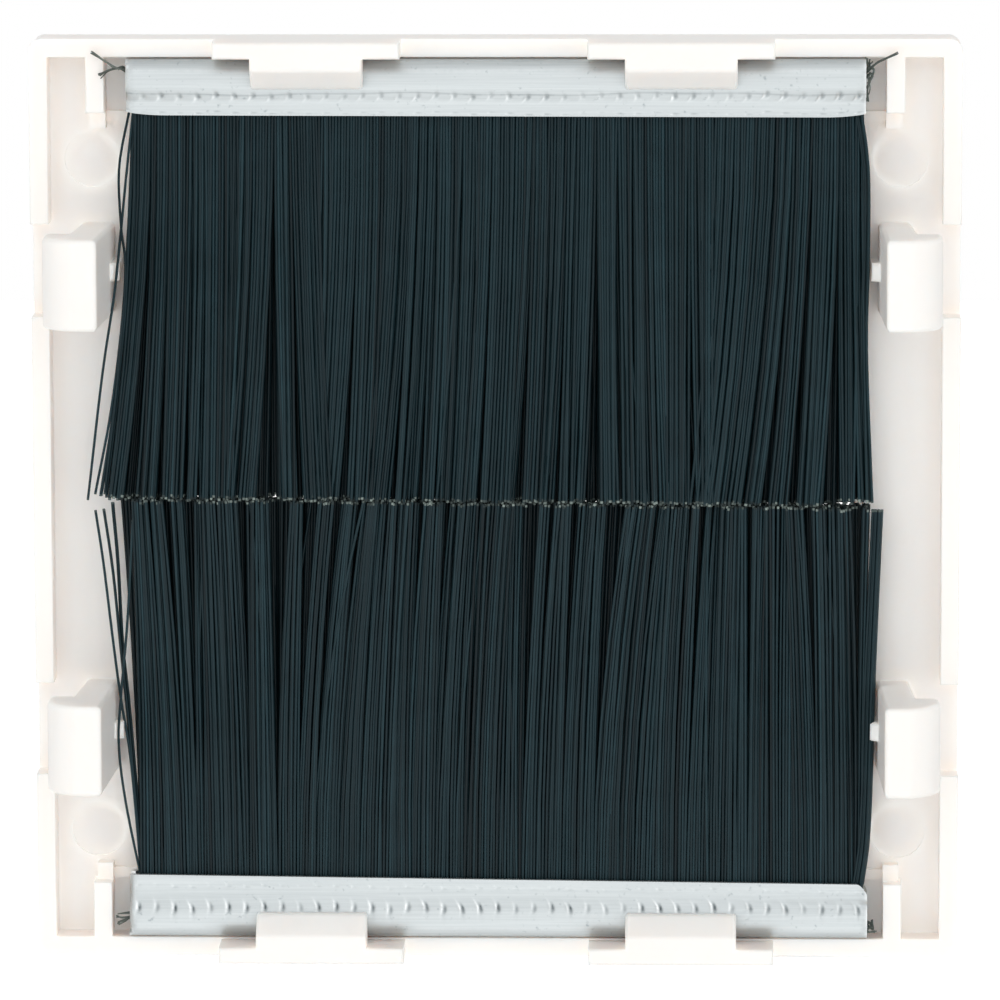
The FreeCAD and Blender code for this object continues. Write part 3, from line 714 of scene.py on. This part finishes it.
# thickness, shade and shade of the cut end
RUN_LOOK = (1.4, 0.4, 0.2)
YARN_RUN = ((0.0, 0.0), (0.2, 0.1), (-0.2, 0.1), (0.12, -0.18), (-0.12, -0.18))
UPPER_ENDS = (
    ((-19.2, 0.4, 22.7), (-19.8, 0.0, 23.3), (-20.25, -0.25, 23.45), (-20.8, -0.35, 23.8), (-21.45, -0.3, 24.3)),
    ((-19.2, 0.5, 22.6), (-19.8, 0.1, 23.25), (-20.2, -0.2, 23.42), (-20.7, -0.3, 23.3), (-21.1, -0.2, 23.1)),
    ((-19.2, 0.6, 22.8), (-19.75, 0.1, 23.35), (-20.0, -0.1, 23.45), (-20.15, 0.0, 23.4)),
    ((19.2, 0.4, 22.7), (19.8, 0.0, 23.2), (20.05, -0.2, 23.4), (20.55, -0.3, 23.8), (21.4, -0.3, 24.2)),
    ((19.2, 0.5, 22.6), (19.85, 0.0, 23.3), (20.05, -0.2, 23.45), (20.3, -0.3, 23.36), (20.1, -0.2, 22.95),
     (19.97, -0.2, 22.5)),
    ((19.2, 0.4, 22.6), (19.85, 0.0, 23.1), (20.0, -0.2, 22.8), (19.97, -0.2, 22.3), (19.92, -0.2, 21.72)),
    ((19.2, 0.5, 22.8), (19.85, 0.1, 23.3), (19.95, 0.0, 23.55), (19.88, 0.0, 23.85)),
    ((19.2, 0.3, 22.6), (19.9, -0.1, 23.0), (20.1, -0.2, 23.2), (20.2, -0.2, 23.0), (20.02, -0.2, 22.7)),
    ((19.2, 0.6, 22.5), (19.9, 0.1, 23.2), (20.0, 0.0, 23.5), (20.07, -0.1, 23.75)))
LOWER_ENDS = (
    ((-19.4, 0.4, -22.65), (-19.9, 0.1, -22.68), (-20.5, 0.0, -22.72)),
    ((-19.4, 0.5, -22.8), (-19.95, 0.1, -22.93), (-20.4, 0.0, -22.95), (-20.66, 0.0, -22.88)),
    ((-19.4, 0.4, -22.8), (-19.95, 0.1, -23.0), (-20.3, 0.0, -23.1), (-20.58, 0.0, -23.25)),
    ((19.4, 0.4, -22.7), (20.0, 0.1, -23.0), (20.3, 0.0, -23.2), (20.1, -0.1, -23.5)),
    ((19.4, 0.5, -22.8), (20.1, 0.1, -23.3), (20.4, 0.0, -23.4), (20.35, -0.1, -23.0)),
    ((19.4, 0.5, -22.6), (20.0, 0.2, -23.1), (20.15, 0.1, -23.6), (20.45, 0.0, -23.6)))


def make_core(name, node, side, seed, ends):
    """One yarn: its straight run and its frayed ends."""
    rng = random.Random(seed)
    bundle = []
    for y, z in YARN_RUN:
        run = [(x, MIDDLE_Y / MM + y, side * (CORE_Z / MM + z)) for x in (-RUN_HALF_MM, RUN_HALF_MM)]
        bundle.append((along(run), *RUN_LOOK))
    for points in ends:
        for _ in range(FRAY_COPIES):
            frayed = [Vector(p) + Vector([rng.gauss(0, FRAY_MM) for _ in range(3)]) for p in points]
            bundle.append((along(frayed), rng.uniform(0.36, 0.5), rng.uniform(0.3, 1.0), 0.2))
    bm = weave(bundle)
    for face in bm.faces:
        face.material_index = 0
    finish_piece(bm, name, [yarn], 80, node)


make_core("upper_yarn", "upper_core", 1, 3, UPPER_ENDS)
make_core("lower_yarn", "lower_core", -1, 4, LOWER_ENDS)

# %% [markdown]
# ## Light and background
# The photograph has a white background and soft light from all round the camera: from above, from the front, from both
# sides and a little from below, which opens the shadows under the tabs. The part is held in the air, so the floor lies
# well below it. The world and the floor are white to the camera and to reflections, and a softer white as light, so
# the whites of the moulding keep their shading.

# %% Light and background
FLOOR_DROP = 0.7
FLOOR_SIZE = 6.0
FLOOR_LIFT = 0.65
SKY_LIGHT = 0.6
KEY_WATTS = 1.3
FRONT_WATTS = 1.5
LOW_WATTS = 1.6
SIDE_WATTS = 1.5


def seen_directly(tree):
    """1 for rays that show the background: camera, reflection and transmission."""
    ray = add(tree, "ShaderNodeLightPath")
    seen = add(tree, "ShaderNodeMath", {0: ray.outputs["Is Camera Ray"], 1: ray.outputs["Is Glossy Ray"]},
               operation="MAXIMUM")
    return add(tree, "ShaderNodeMath", {0: seen.outputs[0], 1: ray.outputs["Is Transmission Ray"]},
               operation="MAXIMUM").outputs[0]


def make_floor():
    """A wide pale floor that isn't part of the object."""
    bm = bmesh.new()
    bmesh.ops.create_grid(bm, x_segments=1, y_segments=1, size=FLOOR_SIZE,
                          matrix=Matrix.Translation((0, 0, cad_box[0][2] - FLOOR_DROP)))
    mesh = bpy.data.meshes.new("floor")
    bm.to_mesh(mesh)
    bm.free()
    floor = bpy.data.objects.new("floor", mesh)
    bpy.context.scene.collection.objects.link(floor)
    material, tree, shader, _ = new_material("pale_studio_floor")
    shader.inputs["Base Color"].default_value = linear("#f4f3f2")
    shader.inputs["Roughness"].default_value = 0.9
    lift = add(tree, "ShaderNodeMath", {0: seen_directly(tree), 1: FLOOR_LIFT}, operation="MULTIPLY")
    shader.inputs["Emission Color"].default_value = linear("#ffffff")
    tree.links.new(lift.outputs[0], shader.inputs["Emission Strength"])
    mesh.materials.append(material)


def make_world():
    """White all round: full white to the eye, and softer as light."""
    world = bpy.data.worlds.new("soft_white_studio")
    bpy.context.scene.world = world
    world.use_nodes = True
    tree = world.node_tree
    tree.nodes.clear()
    level = add(tree, "ShaderNodeMix", {"Factor": seen_directly(tree), "A": SKY_LIGHT, "B": 1.0}, data_type="FLOAT")
    back = add(tree, "ShaderNodeBackground", {"Color": linear("#ffffff"), "Strength": level.outputs["Result"]})
    add(tree, "ShaderNodeOutputWorld", {"Surface": back.outputs["Background"]})


def add_lamp(name, place, size, watts):
    """A square lamp that faces the origin."""
    lamp = bpy.data.objects.new(name, bpy.data.lights.new(name, "AREA"))
    lamp.data.shape = "SQUARE"
    lamp.data.size = size
    lamp.data.energy = watts
    lamp.location = place
    lamp.rotation_euler = (-Vector(place)).to_track_quat("-Z", "Y").to_euler()
    bpy.context.scene.collection.objects.link(lamp)


make_floor()
make_world()
add_lamp("key_from_above", (0.03, -0.55, 0.48), 1.0, KEY_WATTS)
add_lamp("front_fill", (0.0, -0.9, 0.15), 1.2, FRONT_WATTS)
add_lamp("low_fill", (0.0, -0.6, -0.5), 1.0, LOW_WATTS)
add_lamp("left_fill", (-0.85, -0.38, 0.05), 0.8, SIDE_WATTS)
add_lamp("right_fill", (0.85, -0.38, 0.05), 0.8, SIDE_WATTS)
bpy.context.scene.view_settings.view_transform = "Standard"
print("floor at", round(cad_box[0][2] - FLOOR_DROP, 4))

# %% [markdown]
# ## Check and hand over
# The finished model must stay inside the CAD box.

# ## End of the build

# %% End of the build
print("the scene is built")
